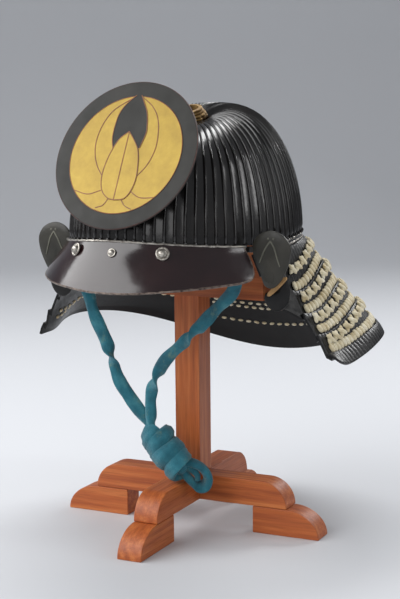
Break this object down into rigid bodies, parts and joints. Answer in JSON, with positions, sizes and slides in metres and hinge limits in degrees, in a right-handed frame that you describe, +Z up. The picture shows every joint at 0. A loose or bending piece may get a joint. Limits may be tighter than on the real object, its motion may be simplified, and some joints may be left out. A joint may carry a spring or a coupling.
{
  "type": "samurai helmet on wooden stand",
  "caption": "Ribbed hollow helmet with round front crest, visor and laced neck guard, chin cord tied in a knot, resting on a four-footed wooden cross stand.",
  "frame": {"origin": "centre of the bounding box at floor level, under the stand", "axes": "+Z up, helmet faces -Y, the wearer's left is +X"},
  "size_m": [0.3744, 0.3746, 0.4577],
  "materials": {
    "lacquered_iron": "semi-gloss black lacquer",
    "russet_lacquer": "gloss russet lacquer",
    "crest_lacquer": "matt lacquer with gilt ornament",
    "gilt": "worn gilt",
    "iron": "worn",
    "lace": "flat silk braid",
    "leather": "worn",
    "cord_cloth": "crepe",
    "stand_wood": "satin"
  },
  "bodies": {
    "root": {"stand_beam_side_to_side": "stand_wood", "stand_beam_front_to_back": "stand_wood", "stand_foot_left": "stand_wood", "stand_foot_back": "stand_wood", "stand_foot_right": "stand_wood", "stand_foot_front": "stand_wood", "stand_post": "stand_wood", "stand_head_board": "stand_wood", "helmet_bowl": "lacquered_iron", "top_ring": "gilt", "waist_band": "lacquered_iron", "visor": "russet_lacquer", "visor_rivet_centre": "iron", "visor_rivet_left": "iron", "visor_rivet_right": "iron", "crest_disc": "crest_lacquer", "crest_holder": "iron", "neck_lame_1": "lacquered_iron", "neck_lame_2": "lacquered_iron", "neck_lame_3": "lacquered_iron", "neck_lame_4": "lacquered_iron", "neck_lame_5": "lacquered_iron", "lacing_1": "lace", "lacing_2": "lace", "lacing_3": "lace", "lacing_4": "lace", "ear_left": "russet_lacquer", "ear_right": "russet_lacquer", "lower_ear_left": "lacquered_iron", "lower_ear_right": "lacquered_iron", "leather_edge_left": "leather", "leather_edge_right": "leather", "cord_ring_left": "iron", "cord_ring_right": "iron", "chin_cord_left": "cord_cloth", "chin_cord_right": "cord_cloth", "chin_knot": "cord_cloth"}
  },
  "joints": []
}
